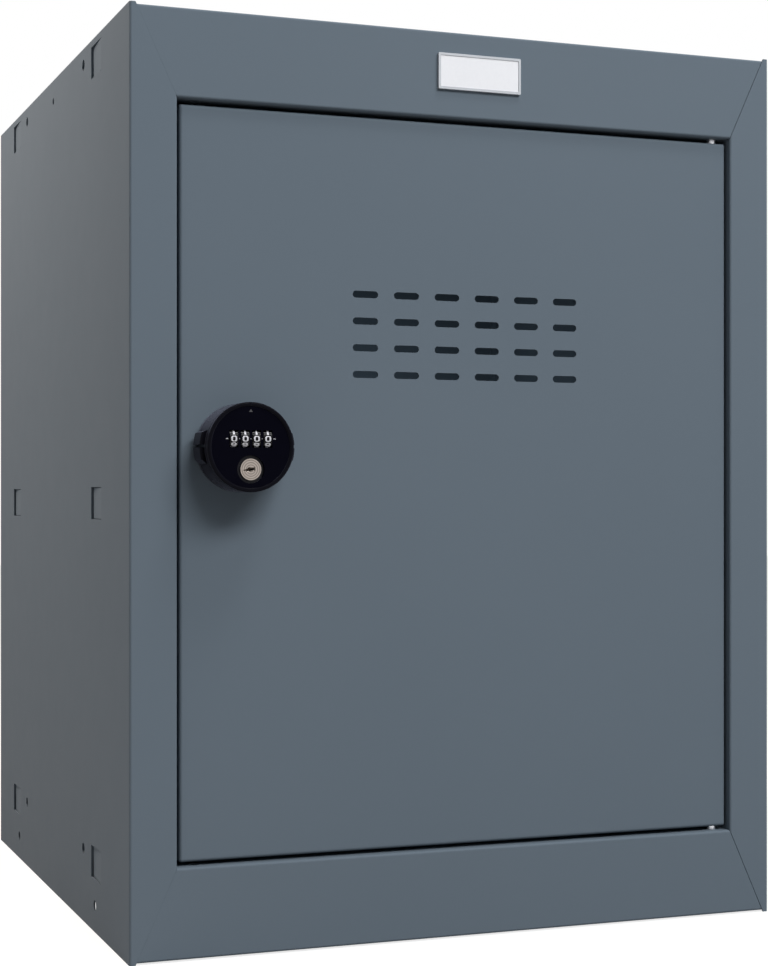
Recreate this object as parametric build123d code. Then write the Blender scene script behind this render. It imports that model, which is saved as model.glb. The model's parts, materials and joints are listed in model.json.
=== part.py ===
from build123d import *
import math
import os

# Cube locker: a folded steel cabinet with one door and a round combination lock.
# Millimetres. +X is right seen from the front, +Y is back, +Z is up.
# The origin is on the ground, at the middle of the whole object with its lock.

# Cabinet
cabinet_height = 510.0
cabinet_width = 390.0
cabinet_depth = 400.0
sheet = 1.0
bend_inside = 0.4
seam = 0.1
panel_lip = 1.0
past = 1.0  # how far a cutter runs beyond the face it cuts
stile_width = 25.9
top_rail_height = 48.0
bottom_rail_height = 49.0
mitre_start = 3.2
left_mitre_gap = 0.04
right_mitre_gap = 0.4
foot_width = 10.0
stop_width = 12.0
top_flange = 22.0
floor_flange = 9.3
flange_setback = 30.0
back_flange = 12.0

# Catch tabs lanced in the side panels, measured back from the front face
tab_folds = (68.5, 320.0)
tab_length = 26.2
tab_height = 18.3
tab_set = 1.3
tab_lance = 0.3
tab_slit = 0.6
top_tab_drop = 13.0
bottom_tab_rise = 39.2
middle_tab_rise = 244.5
tab_window_clearance = 0.6

# Bolt holes in the side panels
bolt_hole_radius = 3.25
bolt_first = 116.0
bolt_pitch = 180.0
bolt_top_drop = 9.5
bolt_rise = 42.5
centre_hole_radius = 2.25
centre_hole_drop = 13.2
plinth_hole_first = 85.0
plinth_hole_pitch = 240.0
plinth_hole_rise = 15.0

# Door
door_recess = 3.7
door_depth = 16.0
door_lock_gap = 2.2
door_hinge_gap = 1.25
door_top_gap = 2.6
door_bottom_gap = 2.3
door_return = 10.0
door_corner = 1.2
door_bend = 0.8
stop_gap = 2.0
vent_columns = 6
vent_rows = 4
vent_pitch_x = 24.5
vent_pitch_z = 14.8
vent_length = 15.0
vent_height = 3.9
vent_centre_rise = 338.0

# Door buffers pushed into the stop on the lock side
buffer_radius = 4.0
buffer_stem_radius = 2.5
buffer_button = 2.0
buffer_gap = 0.1
buffer_inset = 140.0

# Hinges: shoulder pins in the ledges, bushes in the door
hinge_inset_x = 6.6
hinge_inset_y = 5.2
pin_radius = 1.9
pin_shoulder_radius = 2.75
pin_head_radius = 4.5
pin_head = 2.5
pin_running = 0.06
bush_radius = 2.9
bush_head_radius = 3.35
bush_head = 2.0
pin_engagement = 6.0
spare_hole_radius = 2.85
spare_hole_inset = 11.6

# Label holder on the top rail
badge_width = 50.5
badge_height = 20.2
badge_border = 1.35
badge_thickness = 1.6
badge_card_thickness = 0.8
badge_offset = 6.3
badge_drop = 23.3
badge_seat = 0.5
badge_corner = 0.6

# Lock: distances out are measured forward from the face of the door
lock_from_side = 60.6
lock_rise = 274.3
knob_radius = 23.9
knob_out = 25.0
knob_rim = 2.2
knob_edge = 0.9
rim_bevel = 0.6
face_step = 0.8
face_thickness = 1.15
front_wall = 2.0
knob_wall = 2.7
base_radius = 23.8
base_out = 4.0
base_edge = 0.8
gasket_radius = 23.4
gasket_thickness = 0.8
knob_lift = 0.3
ear_radius = 26.3
ear_start = 4.6
ear_end = 18.5
ear_edge = 0.6
ear_half_height = 8.8
ear_tip_top = 6.8
ear_tip_bottom = -5.0
ear_taper = 4.5
ear_slot = 1.7
ear_slot_centre = 0.6
parting_out = 20.8
parting_width = 0.7
parting_depth = 0.4
pointer_notch = 1.1
pointer_notch_depth = 2.0
stem_radius = 9.5
stem_flats = 16.0
stem_in = 17.0
stem_hole_clearance = 0.1
washer_radius = 13.5
washer_thickness = 1.0
nut_flats = 24.0
nut_thickness = 5.0
spindle_radius = 6.0
spindle_flange_radius = 8.0
spindle_flange = 2.0
spindle_square = 8.0
running = 0.06
back_plate = 1.8
boss_radius = 3.0
boss_circle = 17.4
boss_angles = (90.0, 210.0, 330.0)
screw_radius = 1.5
screw_head_radius = 2.6
screw_head = 1.0
screw_length = 10.0
back_plate_gap = 0.2
screw_slot_width = 0.6
screw_slot_depth = 0.6
spindle_corner_radius = 5.4
lock_turn = 90.0

# Code dials
dial_count = 4
dial_pitch = 6.25
dial_radius = 5.9
dial_width = 4.5
dial_rise = 4.4
dial_set = 0.1
dial_grip_count = 10
dial_grip_radius = 0.35
window_width = 5.0
window_height = 9.2
axle_radius = 1.5
axle_set = 0.2
sleeve_radius = 2.8
sleeve_disc_radius = 3.8
sleeve_disc = 0.5
gate_width = 1.4
gate_depth = 0.95
well_gap = 0.5
cheek_thickness = 2.0
cheek_height = 6.4
cheek_end = 8.5
fence_height = 2.4
fence_finger = 0.4
finger_gap = 0.1
fence_travel = 1.1
fence_gap = 0.25
fence_side_gap = 0.15
fence_arm_start = 9.5
fence_arm_low = -2.2
fence_arm_end = 18.0
follower_radius = 1.2
follower_circle = 16.0
follower_depth = 1.0
track_clearance = 0.2
track_floor_gap = 0.4
track_over = 1.0
detent_thickness = 0.4
detent_gap = 0.15
detent_length = 7.0
detent_web = 1.2
detent_finger = 3.2

# Key cylinder
cylinder_drop = 11.8
barrel_radius = 7.4
barrel_sink = 2.2
plug_radius = 5.7
plug_sink = 0.9
plug_back = 8.6
keyway_width = 5.7
keyway_height = 2.0
keyway_depth = 13.0
keyway_shift = -0.6
keyway_bevel = 0.4
# Corners of the key slot, as shares of its half width and half height
keyway_outline = ((-1.0, -0.5), (-0.4, 0.2), (-0.1, 1.0), (0.4, 0.6), (1.0, 0.9), (1.0, -0.6), (0.5, -0.4),
                  (0.1, -1.0), (-0.5, -0.9))
wafer_count = 4
wafer_first = 1.2
wafer_pitch = 2.4
wafer_thickness = 0.6
wafer_height = 7.0
wafer_width = 7.6
tail_radius = 3.0
tail_thickness = 2.0
tail_step = 1.2

# Cam behind the door
cam_gap = 1.5
cam_thickness = 2.5
cam_length = 38.0
cam_width = 15.0
cam_hub_radius = 9.5
cam_square_clearance = 0.06
cam_washer_radius = 7.5
cam_washer = 1.2
cam_screw_radius = 2.5
cam_screw_flats = 8.0
cam_screw_head = 3.5
cam_screw_length = 12.0

# Places worked out from the sizes above
half_width = cabinet_width / 2
front_y = -(cabinet_depth - (knob_out - door_recess)) / 2
back_y = front_y + cabinet_depth
bend_zone = bend_inside + sheet + seam
top_z = cabinet_height - panel_lip
opening_top = top_z - top_rail_height
opening_bottom = panel_lip + bottom_rail_height
opening_half = half_width - stile_width
inner_half = half_width - sheet - seam
back_inner_y = back_y - sheet - seam
door_front_y = front_y + door_recess
door_back_y = door_front_y + door_depth
stop_front_y = door_back_y + stop_gap
door_left = door_lock_gap - opening_half
door_right = opening_half - door_hinge_gap
door_top = opening_top - door_top_gap
door_bottom = opening_bottom + door_bottom_gap
hinge_x = door_right - hinge_inset_x
hinge_y = door_front_y + hinge_inset_y
lock_x = -half_width + lock_from_side
top_tab_rise = top_z - top_tab_drop + panel_lip
bolt_rises = (bolt_rise, top_z - bolt_top_drop + panel_lip)
bolt_places = (front_y + bolt_first, front_y + bolt_first + bolt_pitch)
cam_in = door_depth + stop_gap + sheet + cam_gap
face_out = knob_out - face_step
knob_back = base_out + knob_lift
plate_front = knob_back + back_plate
recess_out = face_out - face_thickness - seam / 2
wall_back = recess_out - front_wall
badge_rise = cabinet_height - badge_drop
dial_out = knob_out - dial_set - dial_radius


def block(x0, x1, y0, y1, z0, z1):
    """Box between two corners."""
    return Pos(x0, y0, z0) * Box(x1 - x0, y1 - y0, z1 - z0, align=Align.MIN)


def upright(radius, x, y, z0, z1):
    """Cylinder along Z."""
    return Pos(x, y, z0) * Cylinder(radius, z1 - z0, align=(Align.CENTER, Align.CENTER, Align.MIN))


def cross(radius, x0, x1, y, z):
    """Cylinder along X."""
    plane = Plane((x0, y, z), x_dir=(0, 1, 0), z_dir=(1, 0, 0))
    return plane * Cylinder(radius, x1 - x0, align=(Align.CENTER, Align.CENTER, Align.MIN))


def lock_plane(out):
    """Plane square to the lock's axis, at a distance out from the door's face."""
    return Plane((lock_x, door_front_y - out, lock_rise), x_dir=(1, 0, 0), z_dir=(0, -1, 0))


def disc(radius, start, end, x=0.0, up=0.0):
    """Cylinder along the lock's axis, between two distances out."""
    body = Cylinder(radius, end - start, align=(Align.CENTER, Align.CENTER, Align.MIN))
    return lock_plane(start) * Pos(x, up, 0) * body


def slab(x0, x1, up0, up1, start, end):
    """Box in the lock's own directions."""
    return lock_plane(start) * Pos(x0, up0, 0) * Box(x1 - x0, up1 - up0, end - start, align=Align.MIN)


def lock_cross(radius, x0, x1, up, out):
    """Cylinder along X in the lock's own places."""
    return cross(radius, lock_x + x0, lock_x + x1, door_front_y - out, lock_rise + up)


def bent_sheet(points):
    """Section of a folded sheet: centre line points, with a round bend at each."""
    lines = [Vector(*point) for point in points]
    steps = [(b - a).normalized() for a, b in zip(lines, lines[1:])]
    normals = [Vector(-step.Y, step.X) for step in steps]
    outline = []
    radii = []
    for side, order in ((1, 1), (-1, -1)):
        places = []
        for index, point in enumerate(lines):
            before = normals[max(index - 1, 0)]
            after = normals[min(index, len(normals) - 1)]
            shift = (before + after) * (side * sheet / 2 / (1 + before.dot(after)))
            turn = before.X * after.Y - before.Y * after.X
            radius = 0.0
            if abs(turn) > 0.01:
                radius = bend_inside if turn * side > 0 else bend_inside + sheet
            places.append((point + shift, radius))
        for place, radius in places[::order]:
            outline.append(place)
            radii.append(radius)
    return make_face(FilletPolyline(*outline, radius=radii, close=True))


def mitre_prism(bottom, left_gap, right_gap, depth):
    """The rail's share of the front face: a prism that narrows to the opening's corners."""
    slope = (stile_width - mitre_start) / (cabinet_height - opening_top)
    edge_z = -seam if bottom else cabinet_height + seam
    corner_z = opening_bottom if bottom else opening_top
    wide = half_width - mitre_start + slope * seam
    corners = [(left_gap - wide, edge_z), (left_gap - opening_half, corner_z),
               (opening_half - right_gap, corner_z), (wide - right_gap, edge_z)]
    plane = Plane((0, front_y - seam, 0), x_dir=(1, 0, 0), z_dir=(0, -1, 0))
    return extrude(plane * make_face(Polyline(*corners, close=True)), depth + seam, dir=(0, 1, 0))


def tab_places():
    """Fold line and mid height of every catch tab."""
    for fold in tab_folds:
        for rise in (bottom_tab_rise, middle_tab_rise, top_tab_rise):
            yield front_y + fold, rise


def side_holes():
    """Bolt holes and the smaller centre hole through the left side."""
    places = []
    for y in bolt_places:
        for z in bolt_rises:
            places.append((bolt_hole_radius, y, z))
    centre_y = front_y + bolt_first + bolt_pitch / 2
    places.append((centre_hole_radius, centre_y, cabinet_height - centre_hole_drop))
    end = -inner_half + sheet + past
    return [cross(radius, -half_width - past, end, y, z) for radius, y, z in places]


def plinth_holes():
    """Holes below the floor through the left side."""
    first = front_y + plinth_hole_first
    places = (first, first + plinth_hole_pitch)
    end = -half_width + sheet + past
    return [cross(bolt_hole_radius, -half_width - past, end, y, plinth_hole_rise) for y in places]


def catch_tab(fold_y, rise):
    """Sheet tab that stays joined at its front and is set in at its free end."""
    outer = -half_width
    free_y = fold_y + tab_length - tab_slit
    corners = [(outer, fold_y), (outer + sheet, fold_y), (outer + sheet + tab_set, free_y),
               (outer + tab_set, free_y)]
    height = tab_height - 2 * tab_lance
    return extrude(Pos(0, 0, rise - height / 2) * make_face(Polyline(*corners, close=True)),
                   height, dir=(0, 0, 1))


def side_panel():
    """Left side with its stile, the inner return and the door stop, as one folded sheet."""
    wall_x = -half_width + sheet / 2
    return_x = -opening_half - sheet / 2
    stop_y = stop_front_y + sheet / 2
    section = bent_sheet([(wall_x, back_y), (wall_x, front_y + sheet / 2), (return_x, front_y + sheet / 2),
                          (return_x, stop_y), (-opening_half + stop_width, stop_y)])
    panel = extrude(section, cabinet_height, dir=(0, 0, 1))
    for bottom in (False, True):
        panel -= mitre_prism(bottom, 0.0, 0.0, bend_zone)
    x0 = -half_width + sheet + seam
    x1 = -opening_half + stop_width + past
    y0 = front_y + bend_zone
    y1 = stop_front_y + sheet + past
    panel -= block(x0, x1, y0, y1, opening_top - seam, cabinet_height + past)
    panel -= block(x0, x1, y0, y1, -past, opening_bottom + seam)
    for fold_y, rise in tab_places():
        panel -= block(-half_width - past, -half_width + sheet + seam / 2, fold_y, fold_y + tab_length,
                       rise - tab_height / 2, rise + tab_height / 2)
        panel += catch_tab(fold_y, rise)
    return panel - side_holes() - plinth_holes()


def right_side_panel():
    return mirror(side_panel(), about=Plane.YZ)


def left_side_panel():
    """Left side, with the two holes that hold the door buffers."""
    panel = side_panel()
    for x, z in buffer_places():
        panel -= buffer_cylinder(buffer_stem_radius + seam / 2, x, z, stop_front_y - past,
                                 stop_front_y + sheet + past)
    return panel


def both_sides(cutter):
    return cutter + [mirror(piece, about=Plane.YZ) for piece in cutter]


def tab_windows(low, high):
    """Openings in a side flange that the catch tabs snap into."""
    cutter = []
    for fold_y, rise in tab_places():
        if low < rise < high:
            reach = tab_height / 2 + tab_window_clearance
            cutter.append(block(-half_width, -inner_half + sheet + past, fold_y - tab_window_clearance,
                                fold_y + tab_length, rise - reach, rise + reach))
    return cutter


def hinge_holes(z0, z1):
    """Pin hole on the hinge side and the spare hole on the other side."""
    pin = upright(pin_shoulder_radius + running, hinge_x, hinge_y, z0, z1)
    spare = upright(spare_hole_radius, spare_hole_inset - opening_half, hinge_y, z0, z1)
    return [pin, spare]


def rear_corners(z0, z1):
    """Notches that clear the side flanges of the back panel."""
    x0 = -half_width
    x1 = -inner_half + sheet + bend_inside + seam
    return both_sides([block(x0, x1, back_y - back_flange - seam, back_y, z0, z1)])


def front_share(bottom, piece):
    """Trims a rail to its mitres, in the depth of the front bend only."""
    far = block(-half_width, half_width, front_y + bend_zone, back_y, -past, cabinet_height + past)
    return piece & (mitre_prism(bottom, left_mitre_gap, right_mitre_gap, bend_zone) + far)


def side_flanges(plate_z, height):
    """Flanges turned down along both sides of the top or the floor."""
    x = inner_half - sheet / 2
    z = plate_z - sheet / 2
    section = bent_sheet([(-x, plate_z - height), (-x, z), (x, z), (x, plate_z - height)])
    y0 = front_y + flange_setback
    y1 = back_y - back_flange - 2 * seam
    plane = Plane((0, y0, 0), x_dir=(1, 0, 0), z_dir=(0, -1, 0))
    return extrude(plane * section, y1 - y0, dir=(0, 1, 0))


def folded_across(points):
    """A section drawn in Y and Z, carried across between the side panels."""
    plane = Plane((-inner_half, 0, 0), x_dir=(0, 1, 0), z_dir=(1, 0, 0))
    return extrude(plane * bent_sheet(points), 2 * inner_half, dir=(1, 0, 0))


def top_panel():
    """Roof, top rail, ledge and top door stop, as one folded sheet."""
    roof_z = top_z - sheet / 2
    rail_y = front_y + sheet / 2
    ledge_z = opening_top + sheet / 2
    stop_y = stop_front_y + sheet / 2
    panel = folded_across([(back_inner_y, roof_z), (rail_y, roof_z), (rail_y, ledge_z), (stop_y, ledge_z),
                           (stop_y, opening_top - stop_width)])
    panel = front_share(False, panel)
    stop_end = opening_half - stop_width - seam
    panel -= both_sides([block(-half_width, -stop_end, front_y + bend_zone, stop_front_y + sheet + past,
                               opening_top - stop_width - past, opening_top)])
    panel += side_flanges(top_z, top_flange)
    panel -= both_sides(tab_windows(top_z - top_flange, top_z))
    panel -= both_sides(side_holes())
    panel -= rear_corners(top_z - top_flange, cabinet_height)
    return panel - hinge_holes(opening_top - past, opening_top + sheet + past)


def floor_panel():
    """Floor, bottom rail and its foot, as one folded sheet."""
    floor_z = opening_bottom - sheet / 2
    rail_y = front_y + sheet / 2
    foot_z = panel_lip + sheet / 2
    panel = folded_across([(back_inner_y, floor_z), (rail_y, floor_z), (rail_y, foot_z),
                           (front_y + foot_width, foot_z)])
    panel = front_share(True, panel)
    panel += side_flanges(opening_bottom, floor_flange)
    panel -= both_sides(tab_windows(0, opening_bottom))
    panel -= both_sides(side_holes())
    panel -= rear_corners(opening_bottom - floor_flange, opening_bottom + past)
    return panel - hinge_holes(opening_bottom - sheet - past, opening_bottom + past)


def back_panel():
    """Back with a flange turned forward along each side."""
    x = inner_half - sheet / 2
    section = bent_sheet([(-x, back_y - back_flange), (-x, back_y - sheet / 2), (x, back_y - sheet / 2),
                          (x, back_y - back_flange)])
    return extrude(section, top_z, dir=(0, 0, 1))


def buffer_places():
    """Middle of each buffer on the lock side stop."""
    x = -opening_half + stop_width / 2
    return ((x, door_bottom + buffer_inset / 2), (x, door_top - buffer_inset / 2))


def buffer_cylinder(radius, x, z, y0, y1):
    plane = Plane((x, y0, z), x_dir=(1, 0, 0), z_dir=(0, 1, 0))
    return plane * Cylinder(radius, y1 - y0, align=(Align.CENTER, Align.CENTER, Align.MIN))


def door_buffers():
    """Rubber buttons pushed through the stop, which the closed door rests against."""
    buttons = []
    for x, z in buffer_places():
        button = buffer_cylinder(buffer_radius, x, z, door_back_y + buffer_gap, stop_front_y)
        button += buffer_cylinder(buffer_stem_radius, x, z, stop_front_y, stop_front_y + sheet)
        button += buffer_cylinder(buffer_radius, x, z, stop_front_y + sheet,
                                  stop_front_y + sheet + buffer_button)
        buttons.append(button)
    return Compound(children=buttons)


def hinge_pin(ledge_outer, ledge_inner, door_edge):
    """Shoulder pin: head beyond the ledge, shoulder in the gap, journal in the bush."""
    way = 1 if door_edge > ledge_inner else -1
    heights = [(pin_head_radius, ledge_outer - way * pin_head, ledge_outer),
               (pin_shoulder_radius, ledge_outer, door_edge - way * seam),
               (pin_radius, door_edge - way * seam, door_edge + way * pin_engagement)]
    pin = None
    for radius, a, b in heights:
        step = upright(radius, hinge_x, hinge_y, min(a, b), max(a, b))
        pin = step if pin is None else pin + step
    return pin


def upper_hinge_pin():
    return hinge_pin(opening_top + sheet, opening_top, door_top)


def lower_hinge_pin():
    return hinge_pin(opening_bottom - sheet, opening_bottom, door_bottom)


def hinge_bush(door_edge, way):
    """Nylon bush through the door's end flange, with its head inside the door."""
    flange_inner = door_edge + way * sheet
    head_end = flange_inner + way * bush_head
    neck = sorted((door_edge, flange_inner))
    head = sorted((flange_inner, head_end))
    bore = sorted((door_edge - way * past, head_end + way * past))
    bush = upright(bush_radius, hinge_x, hinge_y, *neck) + upright(bush_head_radius, hinge_x, hinge_y, *head)
    return bush - upright(pin_radius + pin_running, hinge_x, hinge_y, *bore)


def upper_hinge_bush():
    return hinge_bush(door_top, -1)


def lower_hinge_bush():
    return hinge_bush(door_bottom, 1)


def stem_section(clearance):
    """Round stem with two flats, which keeps the lock from turning in the door."""
    flats = stem_flats + 2 * clearance
    return Circle(stem_radius + clearance) & Rectangle(3 * stem_radius, flats)


def vent_slots():
    """Rows of round-ended slots through the face of the door."""
    middle_x = (door_left + door_right) / 2
    plane = Plane((middle_x, door_front_y - past, vent_centre_rise), x_dir=(1, 0, 0), z_dir=(0, -1, 0))
    grid = GridLocations(vent_pitch_x, vent_pitch_z, vent_columns, vent_rows)
    slot = SlotOverall(vent_length, vent_height)
    return [extrude(plane * place * slot, sheet + 2 * past, dir=(0, 1, 0)) for place in grid]


def door_skin():
    """Door pan: face, four flanges and a return along each upright flange."""
    pan = block(door_left, door_right, door_front_y, door_back_y, door_bottom, door_top)
    pan = fillet(pan.edges().filter_by(Axis.Y), door_corner)
    pan = fillet(pan.faces().sort_by(Axis.Y)[0].edges(), door_bend + sheet)
    hollow = block(door_left + sheet, door_right - sheet, door_front_y + sheet, door_back_y - sheet,
                   door_bottom + sheet, door_top - sheet)
    hollow = fillet(hollow.faces().sort_by(Axis.Y)[0].edges(), door_bend)
    mouth = block(door_left + door_return, door_right - door_return, door_back_y - sheet - past,
                  door_back_y + past, door_bottom + sheet, door_top - sheet)
    pan = pan - hollow - mouth - vent_slots()
    pan -= extrude(lock_plane(past) * stem_section(stem_hole_clearance), sheet + 2 * past, dir=(0, 1, 0))
    for z in (door_bottom, door_top):
        pan -= upright(bush_radius + seam / 2, hinge_x, hinge_y, z - 2 * sheet, z + 2 * sheet)
    return pan


def badge_plate(width, height, radius, out0, out1):
    plane = Plane((badge_offset, front_y - out0, badge_rise), x_dir=(1, 0, 0), z_dir=(0, -1, 0))
    return extrude(plane * RectangleRounded(width, height, radius), out1 - out0, dir=(0, -1, 0))


def badge_frame():
    """Shallow tray with a raised border, stuck to the top rail."""
    frame = badge_plate(badge_width, badge_height, badge_corner, 0, badge_thickness)
    inner_width = badge_width - 2 * badge_border
    inner_height = badge_height - 2 * badge_border
    end = badge_thickness + past
    return frame - badge_plate(inner_width, inner_height, badge_corner / 2, badge_seat, end)


def badge_card():
    """Blank card in the label holder."""
    inner_width = badge_width - 2 * badge_border - 2 * seam
    inner_height = badge_height - 2 * badge_border - 2 * seam
    return badge_plate(inner_width, inner_height, badge_corner / 2, badge_seat,
                       badge_seat + badge_card_thickness)


def lock_gasket():
    """Thin seal between the lock's base and the door."""
    ring = disc(gasket_radius, 0, gasket_thickness)
    hole = stem_section(stem_hole_clearance)
    return ring - extrude(lock_plane(-past) * hole, gasket_thickness + 2 * past, dir=(0, -1, 0))


def track_point(turn):
    """Where the fence's follower stands on the base when the knob has turned this far."""
    radius = follower_circle + fence_travel * turn / lock_turn
    return radius * math.cos(math.radians(turn)), -radius * math.sin(math.radians(turn))


def lock_base():
    """Fixed base with the stem that passes through the door.

    Its curved track moves the fence as the knob turns, and the track's ends stop the knob.
    """
    base = disc(base_radius, gasket_thickness, base_out)
    base = fillet(base.faces().sort_by(Axis.Y)[0].edges(), base_edge)
    base += extrude(lock_plane(-stem_in) * stem_section(0), stem_in + gasket_thickness, dir=(0, -1, 0))
    base -= disc(spindle_radius + running, -stem_in - past, base_out + past)
    ends = (track_point(-track_over), track_point(lock_turn / 2), track_point(lock_turn + track_over))
    groove = SlotArc(ThreePointArc(*ends), 2 * (follower_radius + track_clearance))
    depth = follower_depth + track_floor_gap
    return base - extrude(lock_plane(base_out - depth) * groove, depth + past, dir=(0, -1, 0))


def stem_ring(outer, start, thickness):
    """Ring or nut blank behind the door's face, on the stem."""
    return extrude(lock_plane(-start - thickness) * outer, thickness, dir=(0, -1, 0))


def lock_washer():
    washer = stem_ring(Circle(washer_radius), sheet, washer_thickness)
    return washer - stem_ring(Circle(stem_radius + running), 0, sheet + washer_thickness + past)


def lock_nut():
    """Hexagon nut that clamps the lock to the door."""
    hexagon = RegularPolygon(nut_flats / 2, 6, major_radius=False)
    nut = stem_ring(hexagon, sheet + washer_thickness, nut_thickness)
    end = sheet + washer_thickness + nut_thickness + past
    return nut - stem_ring(Circle(stem_radius + running), 0, end)


def finger_ears():
    """Two ears on the sides of the knob, each with tapered ends and a groove across."""
    ears = disc(ear_radius, ear_start, ear_end)
    ears = chamfer(ears.edges().filter_by(GeomType.CIRCLE), ear_edge)
    tip = ear_radius + past
    root = tip - ear_taper
    right = [(0, ear_half_height), (root, ear_half_height), (tip, ear_tip_top), (tip, ear_tip_bottom),
             (root, -ear_half_height), (0, -ear_half_height)]
    left = [(-x, up) for x, up in reversed(right)]
    outline = make_face(Polyline(*right, *left[1:-1], close=True))
    ears &= extrude(lock_plane(ear_start) * outline, ear_end - ear_start, dir=(0, -1, 0))
    slot_low = ear_slot_centre - ear_slot / 2
    return ears - slab(-tip, tip, slot_low, slot_low + ear_slot, ear_start - past, ear_end + past)


def knob_shell():
    """Outer form of the knob, with its two finger ears, rim, parting line and pointer notch."""
    shell = disc(knob_radius, knob_back, knob_out)
    shell = fillet(shell.faces().sort_by(Axis.Y)[0].edges(), knob_edge) + finger_ears()
    parting_end = parting_out + parting_width
    groove = disc(knob_radius + past, parting_out, parting_end)
    shell -= groove - disc(knob_radius - parting_depth, parting_out - past, parting_end + past)
    return shell - disc(pointer_notch, knob_out - pointer_notch_depth, knob_out + past, 0, knob_radius)


def dial_xs():
    """Middle of each dial from the lock's axis."""
    return [(index - (dial_count - 1) / 2) * dial_pitch for index in range(dial_count)]


def cheek_inner():
    """Inner face of the two cheeks that carry the dial axle."""
    return dial_xs()[-1] + dial_pitch - dial_width / 2


def knob_housing():
    """Hollow knob body that carries the dials and the key cylinder."""
    housing = knob_shell()
    housing -= disc(knob_radius - knob_rim, recess_out, knob_out + past)
    bevel = Cone(knob_radius - knob_rim, knob_radius - knob_rim + rim_bevel, rim_bevel)
    housing -= lock_plane(knob_out - rim_bevel / 2) * bevel
    housing -= disc(knob_radius - knob_wall, knob_back - past, wall_back)
    plate_seat = plate_front + back_plate_gap
    housing -= disc(knob_radius - knob_rim, knob_back - past, plate_seat)
    half = cheek_inner()
    reach = math.sqrt(dial_radius ** 2 - (wall_back - dial_out) ** 2) + well_gap
    housing -= slab(-half, half, dial_rise - reach, dial_rise + reach, wall_back - past, recess_out + past)
    for x in (-half - cheek_thickness, half):
        housing += slab(x, x + cheek_thickness, dial_rise - cheek_height / 2, dial_rise + cheek_height / 2,
                        cheek_end, wall_back + seam)
    end = half + cheek_thickness + past
    housing -= lock_cross(axle_radius + running / 2, -end, end, dial_rise, dial_out)
    for angle in boss_angles:
        x, up = boss_place(angle)
        housing += disc(boss_radius, plate_seat, wall_back + seam, x, up)
        housing -= disc(screw_radius + running / 2, plate_seat - past, plate_seat + screw_length, x, up)
    return housing - disc(barrel_radius + running, plate_seat, knob_out + past, 0, -cylinder_drop)


def boss_place(angle):
    return boss_circle * math.cos(math.radians(angle)), boss_circle * math.sin(math.radians(angle))


def knob_face():
    """Face plate with a window for each dial and a hole for the key cylinder."""
    plate = disc(knob_radius - knob_rim - seam / 2, face_out - face_thickness, face_out)
    for x in dial_xs():
        plate -= slab(x - window_width / 2, x + window_width / 2, dial_rise - window_height / 2,
                      dial_rise + window_height / 2, recess_out, knob_out)
    return plate - disc(barrel_radius + seam, recess_out, knob_out, 0, -cylinder_drop)


def knob_back_plate():
    """Plate that closes the knob and carries the spindle, with a slot for the fence's follower."""
    plate = disc(knob_radius - knob_rim - seam, knob_back, plate_front)
    plate -= disc(spindle_radius + running / 2, knob_back - past, plate_front + past)
    slot_half = follower_radius + track_clearance
    slot = Pos(follower_circle + fence_travel / 2, 0) * SlotCenterToCenter(fence_travel, 2 * slot_half)
    plate -= extrude(lock_plane(knob_back - past) * slot, back_plate + 2 * past, dir=(0, -1, 0))
    for angle in boss_angles:
        x, up = boss_place(angle)
        plate -= disc(screw_radius + running / 2, knob_back - past, plate_front + past, x, up)
        plate -= disc(screw_head_radius + seam, knob_back - past, knob_back + screw_head + seam, x, up)
    return plate


def knob_screws():
    """Three screws from the back plate into the housing."""
    screws = []
    for angle in boss_angles:
        x, up = boss_place(angle)
        head = disc(screw_head_radius, knob_back + seam, knob_back + screw_head + seam, x, up)
        half = screw_slot_width / 2
        head -= slab(x - screw_head_radius, x + screw_head_radius, up - half, up + half, knob_back,
                     knob_back + screw_slot_depth)
        shank_start = knob_back + screw_head
        screws.append(head + disc(screw_radius, shank_start, shank_start + screw_length - past, x, up))
    return Compound(children=screws)


def follower_pin():
    """Pin on the fence's arm that passes through the back plate and runs in the base's track."""
    return disc(follower_radius, base_out - follower_depth, fence_arm_front(), follower_circle, 0)


def cam_spindle():
    """Shaft from the knob to the cam, with a square end and a threaded hole."""
    flange_back = plate_front + seam / 2
    end = -cam_in - cam_thickness
    spindle = disc(spindle_flange_radius, flange_back, flange_back + spindle_flange)
    spindle += disc(spindle_radius, -cam_in, flange_back)
    half = spindle_square / 2
    spindle += disc(spindle_corner_radius, end, -cam_in) & slab(-half, half, -half, half, end, -cam_in)
    return spindle - disc(cam_screw_radius + running / 2, end - past, -cam_in + cam_screw_length)


def locking_cam():
    """Flat cam that swings behind the door stop. It hangs down when the lock is open."""
    tip = cam_width / 2
    reach = cam_length - tip
    outline = Circle(cam_hub_radius) + Pos(0, -reach / 2) * Rectangle(cam_width, reach)
    outline += Pos(0, -reach) * Circle(tip)
    end = -cam_in - cam_thickness
    cam = extrude(lock_plane(end) * outline, cam_thickness, dir=(0, -1, 0))
    half = spindle_square / 2 + cam_square_clearance
    hole = disc(spindle_corner_radius + cam_square_clearance, end - past, -cam_in + past)
    return cam - (hole & slab(-half, half, -half, half, end - past, -cam_in + past))


def cam_washer_ring():
    start = cam_in + cam_thickness
    ring = stem_ring(Circle(cam_washer_radius), start, cam_washer)
    return ring - stem_ring(Circle(cam_screw_radius + seam), start - past, cam_washer + 2 * past)


def cam_screw_bolt():
    """Hexagon screw that holds the cam on the spindle."""
    start = cam_in + cam_thickness + cam_washer
    hexagon = RegularPolygon(cam_screw_flats / 2, 6, major_radius=False)
    screw = stem_ring(hexagon, start, cam_screw_head)
    return screw + disc(cam_screw_radius, -start, -start + cam_screw_length)


def dial_axle():
    """Axle that all the dials turn on."""
    half = cheek_inner() + cheek_thickness - axle_set
    return lock_cross(axle_radius, -half, half, dial_rise, dial_out)


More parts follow.
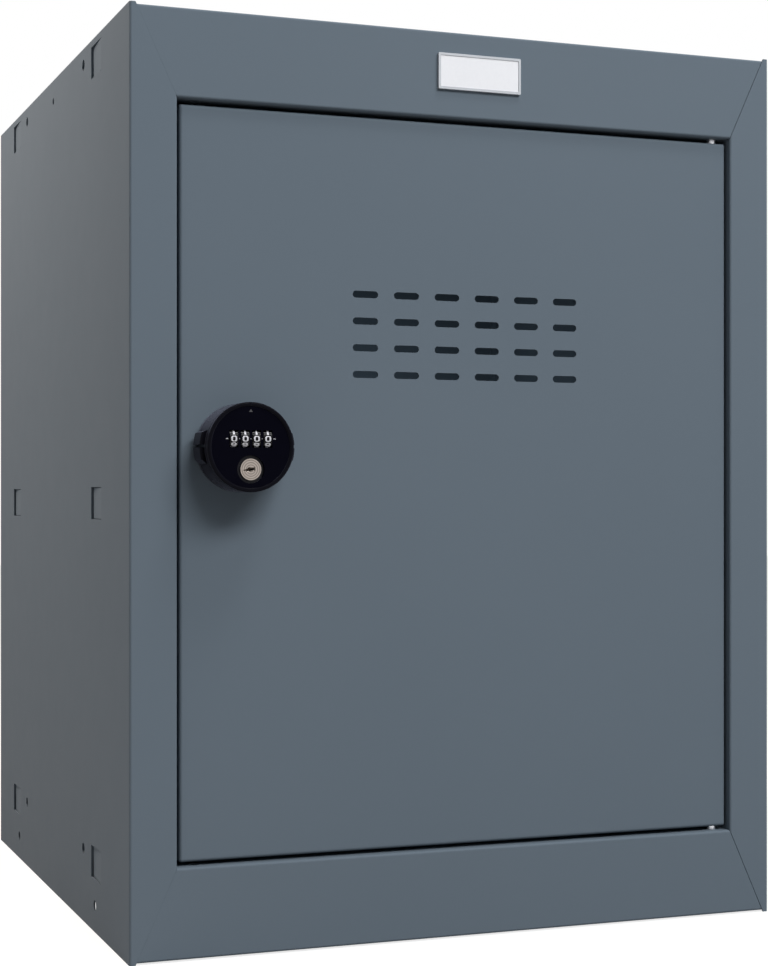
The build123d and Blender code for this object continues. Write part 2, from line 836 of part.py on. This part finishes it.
def dial_wheel(index):
    """Code wheel with shallow finger grips between its ten numbers."""
    x = dial_xs()[index]
    wheel = lock_cross(dial_radius, x - dial_width / 2, x + dial_width / 2, dial_rise, dial_out)
    wheel -= lock_cross(sleeve_radius + seam / 2, x - dial_width, x + dial_width, dial_rise, dial_out)
    for step in range(dial_grip_count):
        angle = 2 * math.pi * (step + 0.5) / dial_grip_count
        up = dial_rise + dial_radius * math.sin(angle)
        out = dial_out + dial_radius * math.cos(angle)
        wheel -= lock_cross(dial_grip_radius, x - dial_width, x + dial_width, up, out)
    return wheel


def finger_start(index):
    """Near side of a fence finger at rest, beside its wheel."""
    return dial_xs()[index] + dial_width / 2 + finger_gap


def disc_start(index):
    """Near side of the gate disc, just beyond the finger."""
    return finger_start(index) + fence_finger + finger_gap


def code_sleeve(index):
    """Sleeve inside a wheel, with a gate disc that lets a finger of the fence past at one number."""
    x = dial_xs()[index]
    start = disc_start(index)
    end = start + sleeve_disc
    sleeve = lock_cross(sleeve_radius, x - dial_width / 2, start, dial_rise, dial_out)
    sleeve += lock_cross(sleeve_disc_radius, start, end, dial_rise, dial_out)
    sleeve -= lock_cross(axle_radius + running, x - dial_width / 2 - past, end + past, dial_rise, dial_out)
    low = dial_out - sleeve_disc_radius
    half = gate_width / 2
    return sleeve - slab(start - finger_gap / 2, end + past, dial_rise - half, dial_rise + half,
                         low - past, low + gate_depth)


def fence_arm_front():
    """How far out the fence's arm reaches below the ends of the cheeks."""
    return cheek_end - back_plate_gap


def code_fence():
    """Comb that slides along the dials. Its fingers pass the gate discs only through the gates."""
    bar_back = plate_front + spindle_flange + fence_gap
    bar_front = dial_out - dial_radius - fence_gap
    low = dial_rise - fence_height / 2
    high = dial_rise + fence_height / 2
    bar_start = dial_xs()[0] - dial_width / 2
    bar_end = finger_start(dial_count - 1) + fence_finger
    fence = slab(bar_start, bar_end, low, high, bar_back, bar_front)
    tip = dial_out - sleeve_radius - fence_side_gap
    half = gate_width / 2 - fence_side_gap
    for index in range(dial_count):
        x = finger_start(index)
        fence += slab(x, x + fence_finger, dial_rise - half, dial_rise + half, bar_front, tip)
    arm_back = plate_front + back_plate_gap
    fence += slab(fence_arm_start, bar_end, low, high, arm_back, bar_back)
    fence += slab(fence_arm_start, fence_arm_end, fence_arm_low, high, arm_back, fence_arm_front())
    return fence - disc(follower_radius + running / 2, base_out, knob_out, follower_circle, 0)


def detent_spring():
    """Leaf with one finger below each wheel."""
    half = cheek_inner() - fence_side_gap
    top = dial_rise - dial_radius - detent_gap
    leaf = slab(-half, half, top - detent_thickness, top, wall_back - detent_web, wall_back)
    for x in dial_xs():
        leaf += slab(x - detent_finger / 2, x + detent_finger / 2, top - detent_thickness, top,
                     wall_back - detent_length, wall_back)
    return leaf


def cylinder_barrel():
    """Barrel of the key cylinder, set back a little from the knob's face."""
    barrel = disc(barrel_radius, plug_back, knob_out - barrel_sink, 0, -cylinder_drop)
    return barrel - disc(plug_radius + running, plug_back - past, knob_out, 0, -cylinder_drop)


def keyway():
    """Stepped outline of the key slot."""
    half = keyway_width / 2
    high = keyway_height / 2
    corners = [(along * half, up * high) for along, up in keyway_outline]
    return Pos(keyway_shift, -cylinder_drop) * make_face(Polyline(*corners, close=True))


def wafer_places():
    first = knob_out - keyway_depth + wafer_first
    return [first + index * wafer_pitch for index in range(wafer_count)]


def wafer_block(out, grow):
    x = wafer_width / 2 + grow
    up = wafer_height / 2 + grow
    return slab(-x, x, -cylinder_drop - up, -cylinder_drop + up, out - grow, out + wafer_thickness + grow)


def key_plug():
    """Plug of the key cylinder, with its keyway and wafer slots."""
    plug = disc(plug_radius, plug_back, knob_out - plug_sink, 0, -cylinder_drop)
    plug -= extrude(lock_plane(knob_out - keyway_depth) * keyway(), keyway_depth, dir=(0, -1, 0))
    plug = chamfer(plug.faces().sort_by(Axis.Y)[0].inner_wires()[0].edges(), keyway_bevel)
    for out in wafer_places():
        plug -= wafer_block(out, running)
    return plug


def plug_wafers():
    """Wafers at the height that a key sets them to, with a window for the key."""
    wafers = []
    for out in wafer_places():
        window = slab(keyway_shift - keyway_width / 2, keyway_shift + keyway_width / 2,
                      -cylinder_drop - keyway_height / 2, -cylinder_drop + keyway_height / 2,
                      out - past, out + wafer_thickness + past)
        wafers.append(wafer_block(out, 0) - window)
    return Compound(children=wafers)


def plug_tail():
    """Small eccentric on the back of the plug."""
    start = plug_back - tail_thickness
    tail = disc(tail_radius, start, plug_back, 0, -cylinder_drop)
    low = -cylinder_drop - tail_radius
    return tail - slab(-tail_radius, tail_radius, low, low + tail_radius / 2, start, start + tail_step)


def pieces():
    """Every node of the object with its shape."""
    nodes = {
        "left_side_panel": left_side_panel(),
        "right_side_panel": right_side_panel(),
        "top_panel": top_panel(),
        "floor_panel": floor_panel(),
        "back_panel": back_panel(),
        "door_buffers": door_buffers(),
        "upper_hinge_pin": upper_hinge_pin(),
        "lower_hinge_pin": lower_hinge_pin(),
        "badge_frame": badge_frame(),
        "badge_card": badge_card(),
        "door_skin": door_skin(),
        "upper_hinge_bush": upper_hinge_bush(),
        "lower_hinge_bush": lower_hinge_bush(),
        "lock_gasket": lock_gasket(),
        "lock_base": lock_base(),
        "lock_washer": lock_washer(),
        "lock_nut": lock_nut(),
        "knob_housing": knob_housing(),
        "knob_face": knob_face(),
        "knob_back_plate": knob_back_plate(),
        "knob_screws": knob_screws(),
        "cam_spindle": cam_spindle(),
        "locking_cam": locking_cam(),
        "cam_washer": cam_washer_ring(),
        "cam_screw": cam_screw_bolt(),
        "dial_axle": dial_axle(),
        "detent_spring": detent_spring(),
        "cylinder_barrel": cylinder_barrel(),
        "code_fence": code_fence(),
        "follower_pin": follower_pin(),
        "key_plug": key_plug(),
        "plug_wafers": plug_wafers(),
        "plug_tail": plug_tail(),
    }
    for index in range(dial_count):
        nodes[f"dial_wheel_{index + 1}"] = dial_wheel(index)
        nodes[f"code_sleeve_{index + 1}"] = code_sleeve(index)
    return nodes


os.makedirs("parts", exist_ok=True)
for name, shape in pieces().items():
    export_step(shape, f"parts/{name}.step")
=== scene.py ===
import json
import math

import bmesh
import bpy
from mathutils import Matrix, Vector


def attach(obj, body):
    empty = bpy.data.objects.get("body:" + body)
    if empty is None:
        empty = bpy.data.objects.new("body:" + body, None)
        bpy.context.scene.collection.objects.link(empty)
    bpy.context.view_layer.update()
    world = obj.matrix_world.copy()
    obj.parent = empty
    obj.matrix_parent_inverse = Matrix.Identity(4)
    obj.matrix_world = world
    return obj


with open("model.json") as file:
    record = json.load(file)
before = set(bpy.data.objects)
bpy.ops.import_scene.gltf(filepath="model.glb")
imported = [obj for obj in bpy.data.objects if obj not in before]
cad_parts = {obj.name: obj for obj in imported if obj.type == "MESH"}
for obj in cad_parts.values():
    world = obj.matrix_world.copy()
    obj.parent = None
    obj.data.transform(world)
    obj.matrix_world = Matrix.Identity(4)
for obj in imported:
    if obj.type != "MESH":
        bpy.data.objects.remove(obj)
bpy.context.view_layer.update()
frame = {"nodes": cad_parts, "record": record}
nodes = frame["nodes"]

mm = 0.001

# Places on the locker, in metres. The front faces -Y and +X is right.
door_face_y = -0.18565
lock_x = -0.1344
lock_z = 0.2743
face_y = door_face_y - 24.2 * mm
dial_y = door_face_y - 19.0 * mm
dial_z = lock_z + 4.4 * mm
plug_z = lock_z - 11.8 * mm

# Code dials and the numbers printed on them
dial_count = 4
dial_pitch = 6.25 * mm
dial_radius = 5.9 * mm
number_count = 10
number_height = 3.0 * mm
number_weight = 0.11 * mm
number_stretch = 1.6
number_boxing = 0.75
number_slices = 9
number_curve_steps = 6
font_number_height = 0.73

# The print stands a little out of its surface and reaches a little into it
print_height = 0.05 * mm
print_sunk = print_height / 4

# Printed marks on the lock's face, width and height: beside the dials, between them, and below the notch
end_mark = (1.4 * mm, 0.5 * mm)
end_mark_x = 13.1 * mm
middle_mark = (0.5 * mm, 0.5 * mm)
mark_end_steps = 8
pointer_mark = (2.0 * mm, 1.5 * mm)
pointer_up = 18.6 * mm

# Floor. Beneath the locker it doesn't glow, which paints shade into the hollow under it: half the width
# of that painted shade square, and its soft edge
floor_half = 6.0
floor_glow = 0.76
painted_shade_half = 0.165
painted_shade_edge = 0.01

# Light
world_strength = 0.2
world_colour = (0.94, 0.97, 1.0, 1)
white = (1, 1, 1, 1)
front_middle = (0, -0.19, 0.3)

# Most of a noise's values lie between these
noise_low = 0.3
noise_high = 0.7

# Camera, fitted to the edges of the cabinet in the photograph
camera_place = (-0.42958, -1.17546, 0.24683)
camera_pitch = 90
camera_yaw = -20.314
camera_lens = 71.04
camera_sensor = 36.0
camera_shift = (0.0234, 0.0166)


def add_camera():
    data = bpy.data.cameras.new("camera")
    data.sensor_width = camera_sensor
    data.sensor_fit = "AUTO"
    data.lens = camera_lens
    data.shift_x, data.shift_y = camera_shift
    camera = bpy.data.objects.new("camera", data)
    camera.location = camera_place
    camera.rotation_euler = (math.radians(camera_pitch), 0, math.radians(camera_yaw))
    bpy.context.scene.collection.objects.link(camera)
    bpy.context.scene.camera = camera


class Shader:
    """Small helper that builds one node material."""

    def __init__(self, name):
        self.material = bpy.data.materials.new(name)
        self.material.use_nodes = True
        self.tree = self.material.node_tree
        self.tree.nodes.clear()
        self.output = self.add("ShaderNodeOutputMaterial")
        self.base = self.add("ShaderNodeBsdfPrincipled")
        self.link(self.base.outputs["BSDF"], self.output.inputs["Surface"])
        coordinates = self.add("ShaderNodeTexCoord")
        self.place = coordinates.outputs["Object"]

    def add(self, kind, **values):
        node = self.tree.nodes.new(kind)
        for key, value in values.items():
            setattr(node, key, value)
        return node

    def link(self, output, socket):
        self.tree.links.new(output, socket)

    def set(self, **values):
        """Sets plain values of the base shader, with _ for each space in their names."""
        for key, value in values.items():
            self.base.inputs[key.replace("_", " ")].default_value = value
        return self

    def scaled(self, scale):
        """The object's own places, stretched along each axis."""
        mapping = self.add("ShaderNodeMapping")
        mapping.inputs["Scale"].default_value = scale
        self.link(self.place, mapping.inputs["Vector"])
        return mapping.outputs["Vector"]

    def noise(self, scale, detail=2.0, roughness=0.5, stretch=None):
        node = self.add("ShaderNodeTexNoise")
        node.inputs["Scale"].default_value = scale
        node.inputs["Detail"].default_value = detail
        node.inputs["Roughness"].default_value = roughness
        self.link(self.scaled(stretch) if stretch else self.place, node.inputs["Vector"])
        return node.outputs["Fac"]

    def ranged(self, value, low, high, to_low, to_high):
        """A value brought from one range to another."""
        node = self.add("ShaderNodeMapRange")
        names = ("From Min", "From Max", "To Min", "To Max")
        for name, number in zip(names, (low, high, to_low, to_high)):
            node.inputs[name].default_value = number
        self.link(value, node.inputs["Value"])
        return node.outputs["Result"]

    def spread(self, noise, to_low, to_high):
        """A noise brought to a range."""
        return self.ranged(noise, noise_low, noise_high, to_low, to_high)

    def mixed(self, factor, first, second):
        """The first colour at nought, the second at one."""
        node = self.add("ShaderNodeMix", data_type="RGBA")
        node.inputs["A"].default_value = (*first, 1)
        node.inputs["B"].default_value = (*second, 1)
        self.link(factor, node.inputs["Factor"])
        return node.outputs["Result"]

    def colour(self, value):
        self.link(value, self.base.inputs["Base Color"])
        return self

    def roughness(self, value):
        self.link(value, self.base.inputs["Roughness"])
        return self

    def bump(self, height, strength, distance):
        node = self.add("ShaderNodeBump")
        node.inputs["Strength"].default_value = strength
        node.inputs["Distance"].default_value = distance
        self.link(height, node.inputs["Height"])
        self.link(node.outputs["Normal"], self.base.inputs["Normal"])
        return self


def linear(red, green, blue):
    """Linear colour from 8-bit display values."""
    return tuple(((c / 255 + 0.055) / 1.055) ** 2.4 for c in (red, green, blue))


def powder_coat(name, dark, light):
    """Fine orange-peel paint with a very slight cloudiness."""
    shader = Shader(name).set(Specular_IOR_Level=0.01)
    cloud = shader.spread(shader.noise(7.0, 2.0), 0.0, 1.0)
    shader.colour(shader.mixed(cloud, dark, light))
    shader.roughness(shader.spread(shader.noise(60.0, 4.0), 0.49, 0.53))
    shader.bump(shader.noise(1800.0, 2.0, 0.6), 0.2, 0.05 * mm)
    return shader.material


def brushed_metal(name, dark, light, rough, stretch):
    """Bare or plated metal with marks along one direction."""
    shader = Shader(name).set(Metallic=1.0)
    marks = shader.noise(1.0, 4.0, 0.6, stretch)
    shader.colour(shader.mixed(marks, dark, light))
    shader.roughness(shader.spread(shader.noise(400.0, 3.0), *rough))
    shader.bump(marks, 0.2, 0.03 * mm)
    return shader.material


def moulded(name, dark, light, rough, grain, depth, specular=0.5, sheen=0.0):
    """Moulded plastic or rubber with a fine grain. Its sheen is a little blue."""
    shader = Shader(name).set(Specular_IOR_Level=specular)
    shader.set(Sheen_Weight=sheen, Sheen_Roughness=0.4, Sheen_Tint=(0.72, 0.74, 1.0, 1))
    shader.colour(shader.mixed(shader.noise(120.0, 3.0), dark, light))
    shader.roughness(shader.spread(shader.noise(300.0, 3.0), *rough))
    shader.bump(shader.noise(grain, 2.0), 0.3, depth)
    return shader.material


def plug_nickel():
    """Satin nickel faced on a lathe: rings round the plug's axis."""
    shader = Shader("plug_nickel").set(Metallic=1.0)
    mapping = shader.add("ShaderNodeMapping")
    mapping.inputs["Location"].default_value = (-lock_x, 0, -plug_z)
    shader.link(shader.place, mapping.inputs["Vector"])
    rings = shader.add("ShaderNodeTexWave", wave_type="RINGS", rings_direction="Y")
    rings.inputs["Scale"].default_value = 260.0
    rings.inputs["Distortion"].default_value = 1.6
    rings.inputs["Detail"].default_value = 2.0
    shader.link(mapping.outputs["Vector"], rings.inputs["Vector"])
    shader.colour(shader.mixed(rings.outputs["Fac"], (0.19, 0.165, 0.145), (0.36, 0.315, 0.285)))
    shader.roughness(shader.ranged(rings.outputs["Fac"], 0.0, 1.0, 0.28, 0.4))
    shader.bump(rings.outputs["Fac"], 0.35, 0.04 * mm)
    return shader.material


def paper_card():
    """White card with a faint fibre."""
    shader = Shader("paper_card")
    shader.colour(shader.mixed(shader.noise(500.0, 4.0, 0.7), (0.7, 0.71, 0.745), (0.76, 0.77, 0.8)))
    shader.roughness(shader.spread(shader.noise(800.0, 2.0), 0.55, 0.7))
    shader.bump(shader.noise(3500.0, 3.0), 0.15, 0.03 * mm)
    return shader.material


def printed_ink(name, dark, light):
    """Printed ink, a little worn."""
    shader = Shader(name)
    shader.colour(shader.mixed(shader.noise(900.0, 3.0), dark, light))
    shader.roughness(shader.spread(shader.noise(700.0, 2.0), 0.4, 0.55))
    return shader.material


def seen_rays(tree):
    """One for camera, glossy and transmission rays, nought for the rest."""
    path = tree.nodes.new("ShaderNodeLightPath")
    total = path.outputs["Is Camera Ray"]
    for name in ("Is Glossy Ray", "Is Transmission Ray"):
        add = tree.nodes.new("ShaderNodeMath")
        add.operation = "MAXIMUM"
        tree.links.new(total, add.inputs[0])
        tree.links.new(path.outputs[name], add.inputs[1])
        total = add.outputs["Value"]
    return total


def beside_locker(shader):
    """Nought on the floor beneath the locker, where the glow is left out as painted shade, one outside
    it.
    """
    parts = shader.add("ShaderNodeSeparateXYZ")
    shader.link(shader.place, parts.inputs["Vector"])
    outside = shader.add("ShaderNodeMath", operation="MAXIMUM")
    for number, axis in enumerate("XY"):
        away = shader.add("ShaderNodeMath", operation="ABSOLUTE")
        shader.link(parts.outputs[axis], away.inputs[0])
        edge = shader.ranged(away.outputs["Value"], painted_shade_half, painted_shade_half + painted_shade_edge, 0.0, 1.0)
        shader.link(edge, outside.inputs[number])
    return outside.outputs["Value"]


def floor_material():
    """Pale studio floor. It is seen as white beside the locker, darkened by the locker's shadow; beneath
    the locker its glow is left out, a painted shade for the hollow under it.
    """
    shader = Shader("floor")
    shader.colour(shader.mixed(shader.noise(3.0, 2.0), (0.29, 0.29, 0.29), (0.31, 0.31, 0.31)))
    shader.set(Roughness=0.9, Specular_IOR_Level=0.0, Emission_Color=white)
    glow = shader.add("ShaderNodeMath", operation="MULTIPLY")
    # Beneath the locker the glow is left out: painted shade for the hollow under it.
    level = shader.ranged(beside_locker(shader), 0.0, 1.0, 0.0, floor_glow)
    shader.link(seen_rays(shader.tree), glow.inputs[0])
    shader.link(level, glow.inputs[1])
    shader.link(glow.outputs["Value"], shader.base.inputs["Emission Strength"])
    return shader.material


def white_world():
    """Soft surround that is plain white where it is seen or reflected."""
    world = bpy.data.worlds.new("studio")
    world.use_nodes = True
    tree = world.node_tree
    tree.nodes.clear()
    output = tree.nodes.new("ShaderNodeOutputWorld")
    mix = tree.nodes.new("ShaderNodeMixShader")
    soft = tree.nodes.new("ShaderNodeBackground")
    plain = tree.nodes.new("ShaderNodeBackground")
    soft.inputs["Color"].default_value = world_colour
    soft.inputs["Strength"].default_value = world_strength
    plain.inputs["Color"].default_value = white
    plain.inputs["Strength"].default_value = 1.0
    tree.links.new(seen_rays(tree), mix.inputs["Fac"])
    tree.links.new(soft.outputs["Background"], mix.inputs[1])
    tree.links.new(plain.outputs["Background"], mix.inputs[2])
    tree.links.new(mix.outputs["Shader"], output.inputs["Surface"])
    bpy.context.scene.world = world


def add_lamp(name, place, aim, size, power, colour=(1, 1, 1), glossy=True):
    """Oblong lamp that can't be seen itself. One that isn't glossy shows in no reflection either."""
    data = bpy.data.lights.new(name, "AREA")
    data.shape = "RECTANGLE"
    data.size, data.size_y = size
    data.energy = power
    data.color = colour
    lamp = bpy.data.objects.new(name, data)
    lamp.location = place
    lamp.rotation_euler = (Vector(aim) - Vector(place)).to_track_quat("-Z", "Y").to_euler()
    lamp.visible_camera = False
    lamp.visible_glossy = glossy
    bpy.context.scene.collection.objects.link(lamp)


def add_floor():
    mesh = bpy.data.meshes.new("floor")
    corners = [(x * floor_half, y * floor_half, 0) for x, y in ((-1, -1), (1, -1), (1, 1), (-1, 1))]
    mesh.from_pydata(corners, [], [(0, 1, 2, 3)])
    floor = bpy.data.objects.new("floor", mesh)
    bpy.context.scene.collection.objects.link(floor)
    mesh.materials.append(floor_material())


def new_piece(name, mesh, body, material):
    """A piece that rides on a body of the model."""
    piece = bpy.data.objects.new(name, mesh)
    bpy.context.scene.collection.objects.link(piece)
    mesh.materials.append(material)
    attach(piece, body)
    return piece


def boxed(place, half):
    """Moves a place outwards within its half width, which gives round numbers squarer shoulders."""
    return math.copysign(abs(place / half) ** number_boxing * half, place)


def font_shape(text):
    """A number straight from the font, as a thin solid."""
    curve = bpy.data.curves.new("number", "FONT")
    curve.body = text
    curve.align_x = "CENTER"
    curve.size = number_height / font_number_height
    curve.offset = number_weight
    curve.extrude = print_height / 2
    curve.resolution_u = number_curve_steps
    holder = bpy.data.objects.new("number", curve)
    bpy.context.scene.collection.objects.link(holder)
    bpy.context.view_layer.update()
    solid = holder.evaluated_get(bpy.context.evaluated_depsgraph_get())
    mesh = bpy.data.meshes.new_from_object(solid)
    bpy.data.objects.remove(holder)
    shape = bmesh.new()
    shape.from_mesh(mesh)
    bpy.data.meshes.remove(mesh)
    return shape


def middle_and_half(values):
    """The middle of a row of values, and half the way from its lowest to its highest."""
    return (max(values) + min(values)) / 2, (max(values) - min(values)) / 2


def number_shape(text):
    """One printed number, middle at the origin, upright along Y, sliced so that it can follow the rim."""
    shape = font_shape(text)
    middle_x, half_width = middle_and_half([v.co.x for v in shape.verts])
    middle_y, half_height = middle_and_half([v.co.y for v in shape.verts])
    for vertex in shape.verts:
        vertex.co.x = boxed(vertex.co.x - middle_x, half_width) * number_stretch
        vertex.co.y = boxed(vertex.co.y - middle_y, half_height)
    for step in range(1, number_slices):
        level = number_height * (step / number_slices - 0.5)
        everything = shape.verts[:] + shape.edges[:] + shape.faces[:]
        bmesh.ops.bisect_plane(shape, geom=everything, plane_co=(0, level, 0), plane_no=(0, 1, 0))
    return shape


def number_ring():
    """The ten numbers of a wheel, wrapped round its rim. Nought faces forward and one is above it."""
    ring = bmesh.new()
    for number in range(number_count):
        shape = number_shape(str(number))
        turn = 2 * math.pi * number / number_count
        copies = {}
        for vertex in shape.verts:
            angle = turn + vertex.co.y / dial_radius
            reach = dial_radius + print_sunk + vertex.co.z
            place = (vertex.co.x, -reach * math.cos(angle), reach * math.sin(angle))
            copies[vertex] = ring.verts.new(place)
        for face in shape.faces:
            ring.faces.new([copies[vertex] for vertex in face.verts])
        shape.free()
    mesh = bpy.data.meshes.new("dial_numbers")
    ring.to_mesh(mesh)
    ring.free()
    return mesh


def add_numbers(ink):
    """A ring of numbers on each dial."""
    for index in range(dial_count):
        piece = new_piece(f"dial_numbers_{index + 1}", number_ring(), f"dial_{index + 1}", ink)
        piece.location = (lock_x + (index - (dial_count - 1) / 2) * dial_pitch, dial_y, dial_z)


def mark_mesh(name, outline):
    """Thin printed shape on the lock's face, from an outline in X and Z."""
    shape = bmesh.new()
    back = face_y + print_sunk
    face = shape.faces.new([shape.verts.new((x, back, z)) for x, z in outline])
    made = bmesh.ops.extrude_face_region(shape, geom=[face])
    for item in made["geom"]:
        if isinstance(item, bmesh.types.BMVert):
            item.co.y -= print_height
    bmesh.ops.recalc_face_normals(shape, faces=shape.faces[:])
    mesh = bpy.data.meshes.new(name)
    shape.to_mesh(mesh)
    shape.free()
    return mesh


def rounded_bar(x, z, width, height):
    """Outline of a bar with round ends."""
    radius = height / 2
    half = width / 2 - radius
    quarter = mark_end_steps / 2
    points = []
    for step in range(2 * mark_end_steps):
        angle = math.pi * step / mark_end_steps
        side = half if step <= quarter or step > 3 * quarter else -half
        points.append((x + side + radius * math.cos(angle), z + radius * math.sin(angle)))
    return points


def add_marks(ink, faint):
    """Index marks in line with the numbers, and a small pointer below the notch."""
    places = [(-end_mark_x, *end_mark), (end_mark_x, *end_mark)]
    for index in range(dial_count - 1):
        places.append(((index - (dial_count - 2) / 2) * dial_pitch, *middle_mark))
    for number, (x, width, height) in enumerate(places):
        mesh = mark_mesh("index_mark", rounded_bar(lock_x + x, dial_z, width, height))
        new_piece(f"index_mark_{number + 1}", mesh, "lock_knob", ink)
    pointer_width, pointer_height = pointer_mark
    half = pointer_width / 2
    low = lock_z + pointer_up
    outline = [(lock_x - half, low), (lock_x + half, low), (lock_x, low + pointer_height)]
    new_piece("pointer_mark", mark_mesh("pointer_mark", outline), "lock_knob", faint)


def paint_node(name, material):
    """Gives a piece of the frame its only material."""
    mesh = nodes[name].data
    mesh.materials.clear()
    mesh.materials.append(material)


def plastics():
    """Materials of the moulded pieces, by their slots in the record."""
    return {
        "black_gloss": moulded("black_gloss", linear(9, 9, 15), linear(12, 12, 19), rough=(0.16, 0.24),
                               grain=500.0, depth=0.02 * mm, specular=0.025, sheen=0.14),
        "black_face": moulded("black_face", linear(8, 8, 16), linear(11, 11, 20), rough=(0.3, 0.4),
                              grain=1500.0, depth=0.03 * mm, specular=0.0),
        "black_base": moulded("black_base", linear(12, 12, 17), linear(16, 16, 22), rough=(0.26, 0.36),
                              grain=1500.0, depth=0.03 * mm, specular=0.14, sheen=0.2),
        "dial_plastic": moulded("black_dial", linear(10, 10, 14), linear(14, 14, 18), rough=(0.16, 0.2),
                                grain=1500.0, depth=0.02 * mm, specular=0.12),
        "black_rubber": moulded("black_rubber", linear(24, 24, 24), linear(34, 34, 34), rough=(0.6, 0.8),
                                grain=900.0, depth=0.05 * mm),
        "natural_nylon": moulded("natural_nylon", (0.68, 0.66, 0.6), (0.76, 0.74, 0.68), rough=(0.4, 0.5),
                                 grain=900.0, depth=0.03 * mm),
        "badge_frame": moulded("badge_silver", linear(176, 180, 186), linear(190, 194, 200),
                               rough=(0.28, 0.38), grain=900.0, depth=0.03 * mm),
    }


def metals_and_card():
    """Materials of the painted and bare metal pieces and of the card, by their slots in the record."""
    return {
        "cabinet_paint": powder_coat("cabinet_paint", linear(98, 109, 119), linear(99, 110, 120)),
        "door_paint": powder_coat("door_paint", linear(97, 108, 118), linear(98, 109, 119)),
        "zinc_plated_steel": brushed_metal("zinc_plate", (0.66, 0.67, 0.7), (0.84, 0.85, 0.88),
                                           rough=(0.25, 0.4), stretch=(900, 900, 60)),
        "cast_spindle": brushed_metal("cast_zinc", (0.42, 0.42, 0.43), (0.55, 0.55, 0.56),
                                      rough=(0.4, 0.55), stretch=(300, 300, 300)),
        # The brass is much darker than bare brass so that the wafers inside the keyway read as its shade:
        # painted shade.
        "brass_wafers": brushed_metal("brass", (0.2, 0.15, 0.07), (0.3, 0.23, 0.12),
                                      rough=(0.3, 0.45), stretch=(600, 60, 600)),
        "nickel_plug": plug_nickel(),
        "badge_card": paper_card(),
    }


def finish_nodes():
    """Gives every piece of the frame its material."""
    by_slot = plastics() | metals_and_card()
    for part in frame["record"]["subparts"]:
        paint_node(part["node"], by_slot[part["material_slot"]])


def add_print():
    add_numbers(printed_ink("printed_white", (0.5, 0.5, 0.54), (0.7, 0.7, 0.74)))
    grey = printed_ink("printed_grey", (0.3, 0.3, 0.32), (0.42, 0.42, 0.45))
    add_marks(grey, printed_ink("printed_faint", (0.018, 0.018, 0.02), (0.032, 0.032, 0.036)))


bpy.context.scene.view_settings.view_transform = "Standard"
add_camera()
finish_nodes()
add_print()
add_floor()
white_world()
add_lamp("key", (0.9, -2.5, 2.5), front_middle, (2.4, 0.9), 98.5)
add_lamp("fill", (0.5, -2.9, 1.5), front_middle, (1.5, 1.1), 3.0)
add_lamp("top", (0.44, -0.74, 2.11), (-0.13, -0.2, 0.27), (0.4, 0.4), 13.0)
add_lamp("side", (-0.58, 0.25, 1.15), (-0.19, 0, 0.3), (0.5, 0.5), 14.6, colour=(1.0, 0.84, 0.72))
add_lamp("inside", (0.03, 0.07, 0.26), (0.12, 0.21, 0.32), (0.14, 0.14), 0.085, colour=(0.8, 0.92, 1.0),
         glossy=False)
